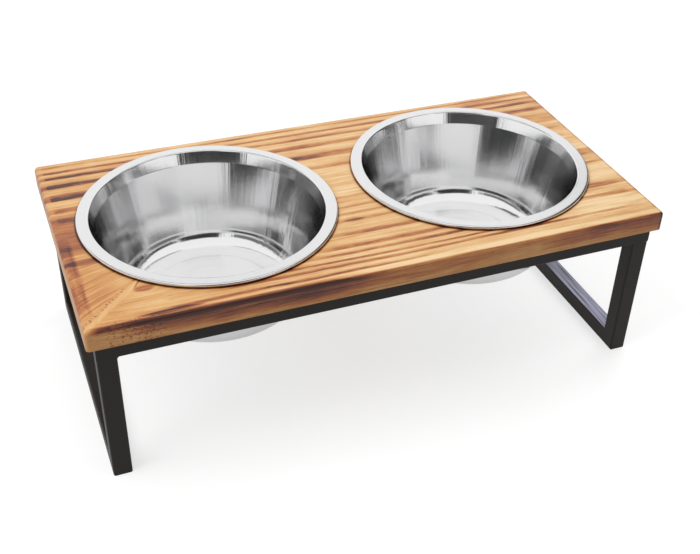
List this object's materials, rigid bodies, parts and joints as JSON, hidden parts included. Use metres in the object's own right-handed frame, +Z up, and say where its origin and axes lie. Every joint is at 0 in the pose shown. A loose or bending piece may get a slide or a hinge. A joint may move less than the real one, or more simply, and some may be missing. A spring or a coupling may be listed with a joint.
{
  "type": "raised pet feeder",
  "caption": "Raised pet feeder: a burnt and varnished wooden board on a welded square-tube steel stand, with round steel bowls that drop into cut-outs and lift out for washing.",
  "frame": {"origin": "on the floor under the middle of the board", "axes": "+X along the board's length, +Y to the back, +Z up"},
  "size_m": [0.61, 0.306, 0.1934],
  "materials": {
    "burnt_wood": "flame-burnt grain, brushed and varnished",
    "bowl_steel": "stainless steel, polished inside, satin rim",
    "frame_paint": "satin black powder coat",
    "screw_zinc": "zinc plated"
  },
  "bodies": {
    "stand": {"board": "burnt_wood", "top_rail_front": "frame_paint", "top_rail_back": "frame_paint", "top_rail_left": "frame_paint", "top_rail_right": "frame_paint", "leg_front_left": "frame_paint", "leg_front_right": "frame_paint", "leg_back_left": "frame_paint", "leg_back_right": "frame_paint", "floor_rail_left": "frame_paint", "floor_rail_right": "frame_paint", "leg_welds": "frame_paint", "floor_corner_welds": "frame_paint", "top_corner_welds": "frame_paint", "board_screws": "screw_zinc"},
    "left_bowl": {"bowl_left": "bowl_steel"},
    "right_bowl": {"bowl_right": "bowl_steel"}
  },
  "joints": [
    {"name": "left_bowl_lift", "type": "slide", "parent": "stand", "child": "left_bowl", "axis": [0, 0, 1], "range_m": [0, 0.13]},
    {"name": "right_bowl_lift", "type": "slide", "parent": "stand", "child": "right_bowl", "axis": [0, 0, 1], "range_m": [0, 0.13]}
  ]
}
